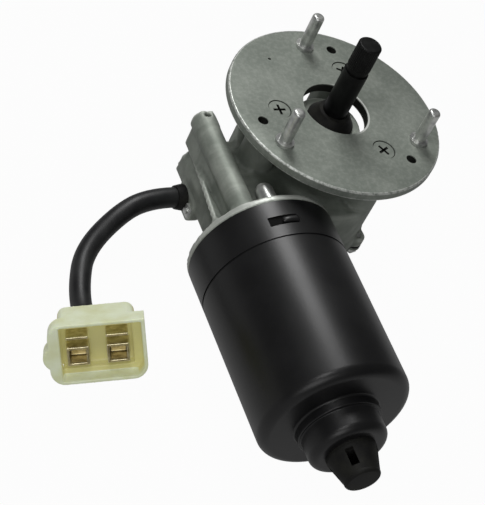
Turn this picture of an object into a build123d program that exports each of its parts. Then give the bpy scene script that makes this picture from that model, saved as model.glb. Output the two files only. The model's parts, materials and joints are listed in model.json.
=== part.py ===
from build123d import *
import os
from math import acos, cos, pi, radians, sin, tan

# Wiper motor, in millimetres.  The origin is the middle of the mounting plate's upper face, on the
# output shaft's axis.  +Z runs along the output shaft, away from the gear case, and the motor lies
# along -Y, beside and below the output shaft.

# Fits and gaps
running_gap = 0.03           # radial play of a shaft in its bush
seat_gap = 0.1               # play between pieces that are only held in line
backlash = 0.12              # side play of the worm thread and of the wheel teeth, each

# Mounting plate
plate_radius = 54.0
plate_thickness = 5.0
plate_bore_radius = 16.6
plate_edge_round = 1.0
stud_circle_radius = 42.5
stud_first_angle = 90.0
stud_radius = 3.0
stud_length = 20.0
stud_shank_radius = 3.4      # where it is pressed in the plate
stud_collar_radius = 4.6
stud_collar_height = 1.4
stud_head_radius = 4.8
stud_head_height = 1.2
spare_hole_circle_radius = 43.0
spare_hole_first_angle = 70.0
spare_hole_radius = 2.6
pin_mark_circle_radius = 40.5
pin_mark_angle = 124.6
pin_mark_radius = 0.8
pin_mark_depth = 0.8

# Countersunk screws that hold the plate on the pillars of the gear case
pillar_circle_radius = 30.5
pillar_first_angle = 60.0
pillar_radius = 9.0
plate_screw_radius = 2.5
plate_screw_head_radius = 5.4
plate_screw_head_height = 2.6
plate_screw_sink = 0.5
plate_screw_rim_gap = 0.4    # round the head, in the countersink
plate_screw_length = 16.0
cross_width = 1.3
cross_depth = 1.6
cross_length = 6.4

# Worm gear
gear_teeth = 52
worm_offset = 38.6           # between the output shaft's axis and the worm's axis
worm_drop = 48.2             # from the plate's upper face down to the worm's axis
worm_pitch_radius = 5.6
worm_turns = 4
pressure_angle = 20.0
tooth_root_gap = 0.3
wheel_width = 9.0
wheel_web_width = 4.0
wheel_rim_depth = 5.0
hub_radius = 14.0
hub_boss_radius = 10.0

# Output shaft
shaft_radius = 6.0
shaft_height = 41.7          # above the plate's upper face
spline_radius = 5.5
spline_start = 25.0
spline_groove_radius = 5.1
spline_groove_width = 1.2
shaft_top_round = 0.8
shaft_foot_length = 4.5
bush_wall = 2.0
bush_length = 12.0
washer_radius = 9.0
washer_thickness = 0.8
clip_radius = 8.0
clip_thickness = 1.2
clip_groove_depth = 0.7
clip_opening = 5.0
boot_base_radius = 11.6
boot_top_radius = 8.6
boot_height = 7.2
boot_wall = 1.6

# Gear case casting
case_wall = 3.2
case_roof = 3.5
chamber_gap = 1.5            # from the wheel's tooth tips to the chamber wall
case_roof_top = 34.0         # depth of the roof's upper side below the plate's upper face
rim_top = 60.0
rim_bottom = 66.0
rim_lip = 1.0
boss_radius = 16.5
boss_top = 8.5
pillar_web_width = 7.0
pillar_web_top = 20.0
cover_lug_radius = 4.6
cover_lug_first_angle = 45.0
case_round = 2.0
tunnel_gap = 2.1             # from the worm's thread tips to the tunnel wall

# Motor body, with its lengths counted from the worm's middle towards the far end
case_end_top = 12.5          # the case ends this far the other way at its upper side
case_end_low = 20.0          # and this far at its lower side
case_left = 20.5             # from the worm's axis to the side with the cable
case_right = 12.0
case_side_taper = 3.5
case_corner_width = 9.0      # the slanted lower left corner of the block
case_corner_height = 6.0
case_crown = 1.3             # more metal above the worm's tunnel than beside it
case_edge_round = 2.5
flange_start = 41.5
can_rim = 45.0
can_radius = 35.7
can_wall = 1.8
can_end = 141.5
can_corner = 5.0
spigot_length = 3.5
spigot_wall = 3.0
seam_depth = 0.5
seam_width = 1.2
seam_place = 64.7
can_slot_angle = 101.0
can_slot_place = 56.0
can_slot_width = 14.0
can_slot_height = 5.0
can_slot_depth = 1.2
nose_neck_radius = 19.6
nose_neck_end = 146.0
nose_radius = 18.3
nose_end = 158.0
nose_round = 4.0
nose_foot_round = 1.0
cap_base_radius = 11.6
cap_tip_radius = 8.4
cap_end = 172.7
cap_wall = 1.8
cap_slots = 4
cap_slot_width = 3.6
cap_slot_length = 7.5
cap_slot_gap = 1.0           # from the cap's collar to its windows
cap_tip_length = 2.0
cap_lip = 0.8                # the collar's width outside the plug's wall

# Through bolts, and the screws of the brush plate
bolt_circle_inset = 5.7      # from the outside of the can to the circle of the bolts
bolt_angle = 126.0
bolt_radius = 2.5
bolt_head_radius = 4.0
bolt_head_height = 4.0
bolt_boss_radius = 4.0
bolt_boss_length = 6.0
bolt_tip_gap = 1.5           # from a bolt's end to the end wall of the can
tube_radius = 6.0
tube_ring_radius = 6.3
tube_ring_length = 8.0
tube_end = 16.5              # the long tube ends this far the other way from the worm's middle
tube_web_width = 8.0
tube_notch_width = 3.0
tube_notch_length = 4.0
wall_dimple_place = -4.5     # a round mark in the left wall of the block
wall_dimple_rise = 8.5
wall_dimple_radius = 2.0
wall_dimple_depth = 1.2
gusset_thickness = 3.0
gusset_length = 18.5
gusset_angles = (62.0, 82.0, 152.0, 172.0, 250.0)
gusset_reach = 3.0           # how far inside the flange's edge a gusset stays
flange_screw_angle = 102.0
flange_screw_radius = 2.0
flange_screw_head_radius = 4.4
flange_screw_head_height = 11.0
flange_screw_head_round = 4.0

# Armature
armature_shaft_radius = 4.0
armature_bush_wall = 2.6
front_bush_start = 21.0
front_bush_length = 12.0
rear_bush_start = 147.0
armature_shaft_front = 9.6   # from the worm's middle, away from the motor
armature_shaft_chamfer = 0.5
thrust_ball_radius = 1.8
thrust_ball_stand = 0.6      # from the end of the shaft to the ball's middle
thrust_screw_radius = 3.0
thrust_boss_radius = 6.2
thrust_boss_end = 19.0       # from the worm's middle, away from the motor
thrust_slot_width = 1.0
thrust_slot_depth = 1.2
air_gap = 1.0
core_start = 76.0
core_length = 46.0
core_slots = 12
core_slot_width = 6.0
core_slot_depth = 11.0
core_slot_mouth = 2.4
core_slot_lip = 1.6
winding_overhang = 9.0
winding_inner_radius = 9.0
winding_round = 3.0
commutator_radius = 11.5
commutator_start = 46.0
commutator_bars = 12
commutator_slit_width = 0.7
commutator_slit_depth = 1.2
riser_radius = 13.0
riser_length = 2.5
magnet_thickness = 6.2
magnet_start = 72.0
magnet_length = 54.0
magnet_span = 128.0

# Brush gear
brush_plate_thickness = 2.0
brush_plate_bore = 15.0
brush_angles = (36.0, 216.0, 262.0)
brush_width = 6.0
brush_depth = 5.0
brush_length = 11.0
brush_gap = 0.15
holder_wall = 0.8
holder_start = 14.0          # from the motor's axis
holder_length = 14.5
spring_radius = 1.8
spring_wire_radius = 0.35
spring_turns = 4

# Park switch under the wheel
disc_inner_radius = 17.0
disc_outer_radius = 27.0
disc_thickness = 1.0
disc_notch_angle = 40.0
carrier_bore = 9.0
carrier_thickness = 3.0
strip_width = 2.4
strip_thickness = 0.5
strip_length = 15.0
strip_foot = 5.0
strip_tip = 2.0
strip_inset = 1.8            # from the ring's edges to the outer strips

# Gear cover
gasket_thickness = 0.5
cover_thickness = 1.4
cover_dome_radius = 31.0
cover_dome_depth = 6.0
cover_dome_round = 2.5
cover_flat_gap = 0.4         # between the cover and the motor's flange
cover_screw_radius = 2.0
cover_screw_tip_gap = 0.4
cover_screw_head_across = 7.0
cover_screw_head_height = 3.0

# Cable exit, cable and connector
exit_place = -0.4            # from the worm's middle towards the motor
exit_rise = -13.0            # from the worm's axis
cord_radius = 5.0
cord_bend_share = 0.45       # the part of the shorter run that a bend takes
cord_first_run = 10.4
cord_last_run = 14.5
cord_points = ((-90.7, -4.2, -63.4), (-112.2, -18.5, -74.4), (-120.8, -39.8, -76.5))
grommet_radius = 6.4
grommet_neck_radius = 5.4
grommet_neck_length = 3.5
grommet_length = 4.5
grommet_tip_radius = 5.8
wire_channel_radius = 3.2
wire_channel_offset = 12.5   # from the worm's axis
tab_width = 6.0
tab_height = 4.4
tab_thickness = 1.2
tab_screw_radius = 1.0
tab_screw_head_radius = 1.7
tab_screw_length = 4.0
exit_pad_depth = 6.5
exit_pad_round = 2.0
connector_heading = -115.0   # the way its mouth faces, about Z
connector_lift = 26.4
connector_roll = 23.3
connector_middle = (-128.9, -81.9, -61.1)
connector_length = 21.0
hood_width = 42.0
hood_height = 27.8
hood_depth = 9.5
hood_corner = 6.5
hood_thin_wall = 1.5         # above, below and on the right
hood_thick_wall = 5.0        # on the left, beside the lug
hood_lug_radius = 5.6
hood_lug_stand = 2.6         # outside the left wall
hood_lug_drop = 1.3
back_width = 33.5
back_height = 25.0
back_corner = 4.0
connector_floor = 8.0
connector_entry_offset = 6.0
terminal_width = 9.7
terminal_thickness = 1.2
terminal_length = 9.0
terminal_spacing = 17.3
blade_rise = 5.8
box_drop = 2.7
box_height = 8.6

# Sizes that follow
wheel_pitch_radius = worm_offset - worm_pitch_radius
gear_module = 2 * wheel_pitch_radius / gear_teeth
axial_pitch = pi * gear_module
worm_tip_radius = worm_pitch_radius + gear_module
worm_root_radius = worm_pitch_radius - gear_module - tooth_root_gap
wheel_tip_radius = wheel_pitch_radius + gear_module
wheel_root_radius = wheel_pitch_radius - gear_module - tooth_root_gap
thread_half_length = worm_turns * axial_pitch / 2
chamber_radius = wheel_tip_radius + chamber_gap
case_radius = chamber_radius + case_wall
tunnel_radius = worm_tip_radius + tunnel_gap
wheel_top = -worm_drop + wheel_width / 2
wheel_bottom = wheel_top - wheel_width
wheel_recess = (wheel_width - wheel_web_width) / 2
case_ceiling = -case_roof_top - case_roof
hub_top = case_ceiling - washer_thickness - seat_gap
boss_bore_radius = shaft_radius + running_gap + bush_wall
shaft_foot = wheel_bottom - shaft_foot_length
cover_seat = -rim_bottom - gasket_thickness
case_top = tunnel_radius + case_wall + case_crown
case_bottom = rim_bottom - worm_drop
can_inner_radius = can_radius - can_wall
magnet_inner_radius = can_inner_radius - seat_gap - magnet_thickness
core_radius = magnet_inner_radius - air_gap
bolt_circle_radius = can_radius - bolt_circle_inset
disc_middle_radius = (disc_inner_radius + disc_outer_radius) / 2
armature_bush_radius = armature_shaft_radius + running_gap + armature_bush_wall
spigot_end = can_rim + spigot_length
brush_plate_start = spigot_end
thrust_ball_place = -armature_shaft_front - thrust_ball_stand
thrust_screw_front = thrust_ball_place - thrust_ball_radius - seat_gap / 2
rear_bush_end = nose_end - nose_round
commutator_end = core_start - winding_overhang
bolt_end = can_end - can_wall - bolt_tip_gap
cover_lug_height = rim_bottom - rim_top
cover_screw_length = cover_thickness + gasket_thickness + cover_lug_height - cover_screw_tip_gap
cap_plug_radius = cap_base_radius - cap_wall - cap_lip
brush_rise = brush_plate_start + brush_plate_thickness + holder_wall + brush_gap + brush_depth / 2
exit_x = -worm_offset - case_left
exit_z = -worm_drop + exit_rise

# The motor's own frame: z along the motor from the worm's middle, x the same, y up
motor = Plane(origin=(-worm_offset, 0, -worm_drop), x_dir=(1, 0, 0), z_dir=(0, -1, 0))


def turned(*points):
    """A ring or disc turned about Z from a closed outline of (radius, height) points."""
    return revolve(Plane.XZ * make_face(Polyline(*points, close=True)), Axis.Z)


def disc(radius, start, end):
    """A round bar about Z between two heights."""
    return Pos(0, 0, start) * extrude(Circle(radius), end - start)


def ring(outer, inner, start, end):
    """A round sleeve about Z between two heights."""
    return Pos(0, 0, start) * extrude(Circle(outer) - Circle(inner), end - start)


def tangent(angle):
    return tan(radians(angle))


def placed(shape, radius, angle):
    """A copy of a shape moved out by a radius and turned about Z."""
    return Rot(0, 0, angle) * Pos(radius, 0, 0) * shape


def spread(shape, radius, count, first_angle):
    """Copies of a shape, evenly spread on a circle about Z."""
    return [placed(shape, radius, first_angle + step * 360 / count) for step in range(count)]


def save(name, *shapes):
    """Write one sub-part: one solid, or several that share a node."""
    solids = [solid for shape in shapes for solid in shape.solids()]
    whole = solids[0] if len(solids) == 1 else Compound(children=solids)
    export_step(whole, f"parts/{name}.step")


# ---- Mounting plate and its fasteners ----


def mounting_plate():
    plate = disc(plate_radius, -plate_thickness, 0)
    rims = plate.edges().filter_by(GeomType.CIRCLE)
    plate = fillet(rims, plate_edge_round)
    plate -= disc(plate_bore_radius, -plate_thickness, 0)
    stud_hole = disc(stud_shank_radius, -plate_thickness, 0)
    spare_hole = disc(spare_hole_radius, -plate_thickness, 0)
    screw_hole = disc(plate_screw_radius + seat_gap, -plate_thickness, 0) + plate_screw_seat()
    plate -= spread(stud_hole, stud_circle_radius, 3, stud_first_angle)
    plate -= spread(spare_hole, spare_hole_circle_radius, 3, spare_hole_first_angle)
    plate -= spread(screw_hole, pillar_circle_radius, 3, pillar_first_angle)
    plate -= placed(disc(pin_mark_radius, -pin_mark_depth, 0), pin_mark_circle_radius, pin_mark_angle)
    return plate


def mounting_studs():
    stud = disc(stud_radius, 0, stud_length)
    stud = fillet(stud.edges().group_by(Axis.Z)[-1], stud_radius / 2)
    stud += disc(stud_shank_radius, -plate_thickness, 0)
    stud += disc(stud_collar_radius, 0, stud_collar_height)
    stud += disc(stud_head_radius, -plate_thickness - stud_head_height, -plate_thickness)
    return spread(stud, stud_circle_radius, 3, stud_first_angle)


def plate_screw_seat():
    """The countersink, which opens at the plate's upper face."""
    foot = -plate_screw_sink - plate_screw_head_height
    wide, thin = plate_screw_head_radius + plate_screw_rim_gap, plate_screw_radius + seat_gap
    return turned((0, 0), (wide, 0), (wide, -plate_screw_sink), (thin, foot), (0, foot))


def plate_screws():
    top, foot = -plate_screw_sink, -plate_screw_sink - plate_screw_head_height
    screw = turned((0, top), (plate_screw_head_radius, top), (plate_screw_radius, foot),
                   (plate_screw_radius, -plate_screw_length), (0, -plate_screw_length))
    arm = Pos(0, 0, top) * Box(cross_length, cross_width, 2 * cross_depth)
    screw -= [arm, Rot(0, 0, 90) * arm]
    return spread(screw, pillar_circle_radius, 3, pillar_first_angle)


# ---- Worm gear and output shaft ----


def involute(angle):
    return tan(angle) - angle


def flank_angle(radius):
    """Half the angle that a wheel tooth fills at a radius."""
    pressure = radians(pressure_angle)
    here = acos(min(1, wheel_pitch_radius * cos(pressure) / radius))
    at_pitch = (axial_pitch / 2 - 2 * backlash) / (2 * wheel_pitch_radius)
    return at_pitch + involute(pressure) - involute(here)


def wheel_outline(turn):
    """The toothed outline, with a tooth space facing the worm, turned by an angle in radians."""
    points = []
    radii = (wheel_root_radius, wheel_pitch_radius, wheel_tip_radius)
    for tooth in range(gear_teeth):
        middle = pi + turn + (tooth + 0.5) * 2 * pi / gear_teeth
        rising = [(radius, middle - flank_angle(radius)) for radius in radii]
        falling = [(radius, 2 * middle - angle) for radius, angle in reversed(rising)]
        points += [(radius * cos(angle), radius * sin(angle)) for radius, angle in rising + falling]
    return make_face(Polyline(*points, close=True))


def worm_wheel():
    """Helical teeth that lean with the worm's thread, on a rim, a thin web and a hub seat."""
    lean = wheel_width / 2 * gear_module / (2 * worm_pitch_radius) / wheel_pitch_radius
    ends = ((wheel_bottom, -lean), (wheel_top, lean))
    wheel = loft([Pos(0, 0, height) * wheel_outline(turn) for height, turn in ends], ruled=True)
    web_radius = wheel_root_radius - wheel_rim_depth
    wheel -= ring(web_radius, hub_boss_radius + wheel_recess, wheel_top - wheel_recess, wheel_top)
    wheel -= disc(hub_radius, wheel_bottom, wheel_bottom + wheel_recess)
    return wheel - disc(hub_boss_radius, wheel_bottom, wheel_top)


def wheel_hub():
    """The steel hub that the wheel is moulded round, pressed on the shaft."""
    hub = disc(hub_radius, wheel_bottom, wheel_bottom + wheel_recess)
    hub += disc(hub_boss_radius, wheel_bottom, hub_top)
    return hub - disc(shaft_radius, wheel_bottom, hub_top)


def park_disc():
    """The contact ring under the wheel, with the notch that marks the park place."""
    sheet = ring(disc_outer_radius, disc_inner_radius, wheel_bottom - disc_thickness, wheel_bottom)
    wedge = make_face(Polyline((0, 0), (2 * disc_outer_radius, 0),
                               (2 * disc_outer_radius, 2 * disc_outer_radius * tangent(disc_notch_angle)),
                               close=True))
    notch = Pos(0, 0, wheel_bottom - disc_thickness) * extrude(wedge, disc_thickness)
    return sheet - (notch - disc(disc_middle_radius, wheel_bottom - disc_thickness, wheel_bottom))


def output_shaft():
    shaft = disc(shaft_radius, shaft_foot, spline_start)
    shaft = chamfer(shaft.edges().group_by(Axis.Z)[0], shaft_top_round)
    shaft += disc(spline_groove_radius, spline_start, spline_start + spline_groove_width)
    spline = disc(spline_radius, spline_start + spline_groove_width, shaft_height)
    shaft += fillet(spline.edges().group_by(Axis.Z)[-1], shaft_top_round)
    clip_bottom = -boss_top + washer_thickness + seat_gap / 2
    groove_foot = shaft_radius - clip_groove_depth
    return shaft - ring(shaft_radius, groove_foot, clip_bottom, clip_bottom + clip_thickness)


def shaft_clip():
    """The spring clip in its groove, open on one side."""
    clip_bottom = -boss_top + washer_thickness + seat_gap / 2
    clip = ring(clip_radius, shaft_radius - clip_groove_depth, clip_bottom, clip_bottom + clip_thickness)
    middle = clip_bottom + clip_thickness / 2
    return clip - Pos(clip_radius, 0, middle) * Box(2 * clip_radius, clip_opening, clip_thickness)


def thrust_washers():
    """One under the clip on the boss, one between the hub and the roof of the case."""
    bore = shaft_radius + running_gap
    upper = ring(washer_radius, bore, -boss_top, -boss_top + washer_thickness)
    return [upper, ring(washer_radius, bore, case_ceiling - washer_thickness, case_ceiling)]


def shaft_bushes():
    bore = shaft_radius + running_gap
    upper = ring(boss_bore_radius, bore, -boss_top - bush_length, -boss_top)
    return [upper, ring(boss_bore_radius, bore, case_ceiling, case_ceiling + bush_length)]


def shaft_boot():
    """The rubber cap over the boss, with a lip that runs on the shaft."""
    lip = shaft_radius + running_gap
    foot, top = -boss_top, -boss_top + boot_height
    outline = ((boot_base_radius, foot), (boot_base_radius, foot + boot_wall),
               (boot_top_radius, top - boot_wall), (boot_top_radius - boot_wall / 2, top),
               (lip, top), (lip, top - boot_wall),
               (boot_top_radius - boot_wall, top - 2 * boot_wall), (boot_base_radius - boot_wall, foot))
    return turned(*outline)


# ---- Gear case ----


def case_block():
    """The block of the case round the worm, in the motor's frame."""
    outline = Polyline((-case_left + case_side_taper, case_top), (-case_left, 0),
                       (-case_left + case_side_taper / 2, -case_bottom + case_corner_height),
                       (-case_left + case_corner_width, -case_bottom), (case_right, -case_bottom),
                       (case_right, case_top), close=True)
    section = make_face(outline)
    section = fillet(section.vertices(), case_edge_round)
    block = Pos(0, 0, -case_end_low) * extrude(section, case_end_low + flange_start)
    side_view = Polyline((case_top, flange_start), (case_top, -case_end_top), (-case_bottom, -case_end_low),
                         (-case_bottom, flange_start), close=True)
    return block & extrude(Plane.YZ * make_face(side_view), 2 * case_left, both=True)


def bolt_tube():
    """The cast tube of the longer through bolt, in the motor's frame."""
    long_tube = disc(tube_radius, -tube_end, flange_start)
    long_tube += disc(tube_ring_radius, -tube_end, -tube_end + tube_ring_length)
    web = Pos(0, -tube_web_width, (flange_start - tube_end) / 2) * Box(
        tube_web_width, 2 * tube_web_width, flange_start + tube_end)
    return placed(long_tube + Rot(0, 0, -bolt_angle) * web, bolt_circle_radius, bolt_angle)


def gussets():
    """Ribs that run from the back of the flange to the block, in the motor's frame."""
    reach = can_radius - gusset_reach
    foot = flange_start - gusset_length
    outline = make_face(Polyline((0, flange_start), (reach, flange_start), (case_left / 2, foot), (0, foot),
                                 close=True))
    rib = extrude(Plane.XZ * outline, gusset_thickness / 2, both=True)
    return [Rot(0, 0, angle) * rib for angle in gusset_angles]


def motor_side():
    """Everything on the motor's side of the case, in the motor's frame, before its bores."""
    side = case_block()
    side += bolt_tube()
    side += gussets()
    side += disc(can_radius, flange_start, can_rim)
    pad_length = 2 * grommet_radius + tab_height
    pad = Pos(exit_pad_depth / 2 - case_left, exit_rise, exit_place + tab_height / 2) * Box(
        exit_pad_depth, 2 * grommet_radius, pad_length)
    side += fillet(pad.edges().filter_by(Axis.X), exit_pad_round)
    side += ring(can_inner_radius - seat_gap, can_inner_radius - spigot_wall, can_rim, spigot_end)
    return side + disc(thrust_boss_radius, -thrust_boss_end, -case_end_top)


def motor_side_bores():
    """The worm's tunnel, the bush seats and the screw holes, in the motor's frame."""
    tunnel = disc(tunnel_radius, -armature_shaft_front - tunnel_gap / 2, front_bush_start - tunnel_gap)
    tunnel += disc(armature_bush_radius, 0, front_bush_start + front_bush_length)
    tunnel += disc(armature_shaft_radius + tunnel_gap / 2, 0, can_rim)
    tunnel += disc(thrust_screw_radius, -thrust_boss_end, 0)
    bolt_hole = disc(bolt_radius + seat_gap, -tube_end, spigot_end)
    head_seat = disc(bolt_head_radius + seat_gap, -tube_end, -tube_end + tube_ring_length)
    tunnel += placed(bolt_hole + head_seat, bolt_circle_radius, bolt_angle)
    short_hole = disc(bolt_radius + seat_gap, flange_start, spigot_end)
    tunnel += placed(short_hole, bolt_circle_radius, bolt_angle + 180)
    screw_hole = disc(flange_screw_radius + seat_gap, flange_start, spigot_end)
    tunnel += spread(screw_hole, bolt_circle_radius, 2, flange_screw_angle)
    channel = disc(wire_channel_radius, exit_place, can_rim)
    return tunnel + Pos(-wire_channel_offset, exit_rise, 0) * channel


def motor_side_marks():
    """The notch in the end of the bolt tube and the round mark in the left wall, in the motor's frame."""
    middle = placed(Vertex(0, 0, 0), bolt_circle_radius, bolt_angle).center()
    notch = Pos(middle.X, middle.Y + tube_ring_radius, tube_notch_length / 2 - tube_end) * Box(
        tube_notch_width, 2 * (tube_ring_radius - bolt_radius), tube_notch_length)
    wall_x = case_side_taper * wall_dimple_rise / case_top - case_left
    dimple = Cylinder(wall_dimple_radius, 2 * wall_dimple_depth)
    return notch + Pos(wall_x, wall_dimple_rise, wall_dimple_place) * Rot(0, 90, 0) * dimple


def output_side():
    """The wheel chamber, the shaft's boss and the plate's pillars."""
    side = disc(case_radius, -rim_bottom, -case_roof_top)
    side = fillet(side.edges().group_by(Axis.Z)[-1], case_round)
    side += disc(case_radius + rim_lip, -rim_bottom, -rim_top)
    side += spread(disc(cover_lug_radius, -rim_bottom, -rim_top), case_radius, 4, cover_lug_first_angle)
    boss = disc(boss_radius, case_ceiling, -boss_top)
    side += fillet(boss.edges().group_by(Axis.Z)[-1], case_round / 2)
    pillar = disc(pillar_radius, case_ceiling, -plate_thickness)
    side += spread(pillar, pillar_circle_radius, 3, pillar_first_angle)
    web_height = case_roof_top + case_roof - pillar_web_top
    web = Pos(pillar_circle_radius / 2, 0, -pillar_web_top - web_height / 2) * Box(
        pillar_circle_radius, pillar_web_width, web_height)
    side += spread(web, 0, 3, pillar_first_angle)
    return side


def gear_case():
    case = output_side() + motor * motor_side()
    case -= disc(chamber_radius, -rim_bottom, case_ceiling)
    case -= disc(boss_bore_radius, case_ceiling, -boss_top)
    screw_hole = disc(plate_screw_radius, -plate_screw_length, -plate_thickness)
    case -= spread(screw_hole, pillar_circle_radius, 3, pillar_first_angle)
    cover_hole = disc(cover_screw_radius, -rim_bottom, -rim_top)
    case -= spread(cover_hole, case_radius, 4, cover_lug_first_angle)
    case -= motor * motor_side_bores()
    case -= motor * motor_side_marks()
    exit_hole = Cylinder(grommet_neck_radius, 2 * (case_left - wire_channel_offset + wire_channel_radius))
    case -= Pos(exit_x, -exit_place, exit_z) * Rot(0, 90, 0) * exit_hole
    case -= tab_screw_shank()
    return case


def cover_outline():
    """The rim's outline with its four ears, cut straight where it meets the motor's flange."""
    outline = Circle(case_radius + rim_lip)
    outline += spread(Circle(cover_lug_radius), case_radius, 4, cover_lug_first_angle)
    outline -= spread(Circle(cover_screw_radius + seat_gap), case_radius, 4, cover_lug_first_angle)
    beyond = Pos(0, cover_flat_gap - flange_start - case_radius) * Rectangle(2 * case_radius, 2 * case_radius)
    return outline - beyond


def cover_gasket():
    return Pos(0, 0, cover_seat) * extrude(cover_outline() - Circle(chamber_radius), gasket_thickness)


def gear_cover():
    """The pressed cover, with a shallow dome that stands out below the case."""
    dome = disc(cover_dome_radius, cover_seat - cover_thickness - cover_dome_depth, cover_seat)
    dome = fillet(dome.edges().group_by(Axis.Z)[0], cover_dome_round)
    cover = Pos(0, 0, cover_seat - cover_thickness) * extrude(cover_outline(), cover_thickness) + dome
    inside = disc(cover_dome_radius - cover_thickness, cover_seat - cover_dome_depth, cover_seat)
    return cover - inside


def hexagon(across_flats, start, end):
    return Pos(0, 0, start) * extrude(RegularPolygon(across_flats / 2, 6, major_radius=False), end - start)


def cover_screws():
    head_top = cover_seat - cover_thickness
    screw = hexagon(cover_screw_head_across, head_top - cover_screw_head_height, head_top)
    screw += disc(cover_screw_radius, head_top, head_top + cover_screw_length)
    return spread(screw, case_radius, 4, cover_lug_first_angle)


def contact_carrier():
    """The moulded plate that carries the park contacts, held in the case's mouth by the cover."""
    return ring(chamber_radius - seat_gap, carrier_bore, -rim_bottom, -rim_bottom + carrier_thickness)


def contact_strips():
    """Three sprung strips that stand up from the carrier to the contact ring."""
    foot, tip = -rim_bottom + carrier_thickness, wheel_bottom - disc_thickness - seat_gap
    bend, upper, lower = strip_foot - strip_length, foot + strip_thickness, tip - strip_thickness
    outline = Polyline((-strip_length, foot), (bend, foot), (0, lower), (strip_tip, lower), (strip_tip, tip),
                       (0, tip), (bend, upper), (-strip_length, upper), close=True)
    strip = extrude(Plane.YZ * make_face(outline), strip_width / 2, both=True)
    places = (disc_inner_radius + strip_inset, disc_middle_radius, disc_outer_radius - strip_inset)
    return [Pos(radius, 0, 0) * strip for radius in places]


# ---- Motor body ----


def motor_can():
    """The drawn can: a straight wall, a rounded end and a stepped nose with the rear bush's seat."""
    wall = can_wall
    outline = ((can_radius, can_rim), (can_radius, can_end), (nose_neck_radius, can_end),
               (nose_neck_radius, nose_neck_end), (nose_radius, nose_neck_end), (nose_radius, nose_end),
               (cap_plug_radius, nose_end), (cap_plug_radius, nose_end - wall),
               (nose_radius - wall, nose_end - wall), (nose_radius - wall, nose_neck_end - wall),
               (nose_neck_radius - wall, nose_neck_end - wall), (nose_neck_radius - wall, can_end - wall),
               (can_inner_radius, can_end - wall), (can_inner_radius, can_rim))
    step = (nose_neck_radius - nose_radius) / 2.5
    rounds = (0, can_corner, nose_foot_round, step, step, nose_round, 0, 0, nose_round - wall, step, step,
              step, can_corner - wall, 0)
    can = revolve(Plane.XZ * rounded_face(outline, rounds), Axis.Z)
    can -= ring(can_radius, can_radius - seam_depth, seam_place, seam_place + seam_width)
    slot = Pos(can_radius, 0, can_slot_place) * Box(2 * can_slot_depth, can_slot_width, can_slot_height)
    can -= Rot(0, 0, can_slot_angle) * slot
    boss = ring(bolt_boss_radius, bolt_radius, can_end - wall - bolt_boss_length, can_end - wall)
    return can + spread(boss, bolt_circle_radius, 2, bolt_angle)


def rounded_face(outline, rounds):
    """A face with a closed outline and a radius at each corner, 0 where the corner stays sharp."""
    face = make_face(Polyline(*outline, close=True))
    for (x, y), radius in zip(outline, rounds):
        if radius:
            corner = face.vertices().sort_by_distance(Vector(x, y, 0))[0]
            face = fillet(corner, radius)
    return face


def end_cap():
    """The rubber nozzle plugged into the nose, with windows round its side."""
    plug = cap_plug_radius - seat_gap
    outline = ((0, cap_end - cap_wall), (cap_tip_radius - cap_wall, cap_end - cap_wall),
               (plug - cap_wall, nose_end - can_wall), (plug, nose_end - can_wall), (plug, nose_end),
               (cap_base_radius, nose_end), (cap_base_radius, nose_end + cap_wall),
               (cap_tip_radius, cap_end - cap_tip_length), (cap_tip_radius, cap_end), (0, cap_end))
    rounds = (0, 0, 0, 0, 0, 0, 1, 0.5, 1.5, 0)
    cap = revolve(Plane.XZ * rounded_face(outline, rounds), Axis.Z)
    middle = nose_end + cap_wall + cap_slot_gap + cap_slot_length / 2
    window = Pos(cap_base_radius, 0, middle) * Box(cap_base_radius, cap_slot_width, cap_slot_length)
    return cap - spread(window, 0, cap_slots, bolt_angle)


def through_bolts():
    """Both run along the motor into the can's far end; the one in the long tube is the longer."""
    head = disc(bolt_head_radius, -bolt_head_height, 0)
    head = fillet(head.edges().group_by(Axis.Z)[0], bolt_head_height / 4)
    bolts = []
    for seat, angle in ((-tube_end + tube_ring_length, bolt_angle), (flange_start, bolt_angle + 180)):
        bolt = Pos(0, 0, seat) * head + disc(bolt_radius, seat, bolt_end)
        bolts.append(placed(bolt, bolt_circle_radius, angle))
    return bolts


def flange_screws():
    """Domed screws through the flange into the brush plate."""
    head = disc(flange_screw_head_radius, flange_start - flange_screw_head_height, flange_start)
    head = fillet(head.edges().group_by(Axis.Z)[0], flange_screw_head_round)
    screw = head + disc(flange_screw_radius, flange_start, brush_plate_start + brush_plate_thickness)
    return spread(screw, bolt_circle_radius, 2, flange_screw_angle)


def arc_block(outer, inner, start, end, span):
    """A thick arc about Z, centred on the X axis."""
    reach = 2 * outer
    half = span / 2
    wedge = make_face(Polyline((0, 0), (reach * cos(radians(half)), reach * sin(radians(half))), (reach, 0),
                               (reach * cos(radians(half)), -reach * sin(radians(half))), close=True))
    return ring(outer, inner, start, end) & (Pos(0, 0, start) * extrude(wedge, end - start))


def magnets():
    magnet = arc_block(can_inner_radius - seat_gap, magnet_inner_radius, magnet_start,
                       magnet_start + magnet_length, magnet_span)
    return spread(magnet, 0, 2, bolt_angle - 90)


# ---- Armature ----


def worm_thread():
    """One right-hand thread round the worm, with its crest facing the wheel at the worm's middle."""
    path = Pos(0, 0, -thread_half_length) * Helix(axial_pitch, 2 * thread_half_length, worm_pitch_radius)
    foot = worm_root_radius - tooth_root_gap
    half = axial_pitch / 4 - backlash
    low = half + (worm_pitch_radius - foot) * tangent(pressure_angle)
    high = half - gear_module * tangent(pressure_angle)
    section = make_face(Polyline((foot, -low), (worm_tip_radius, -high), (worm_tip_radius, high), (foot, low),
                                 close=True))
    thread = sweep(Pos(0, 0, -thread_half_length) * (Plane.XZ * section), path=path, is_frenet=True)
    end = thread_half_length + half
    envelope = turned((0, -end), (worm_root_radius, -end), (worm_tip_radius + 1, -end + axial_pitch / 2),
                      (worm_tip_radius + 1, end - axial_pitch / 2), (worm_root_radius, end), (0, end))
    return thread & envelope


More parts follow.
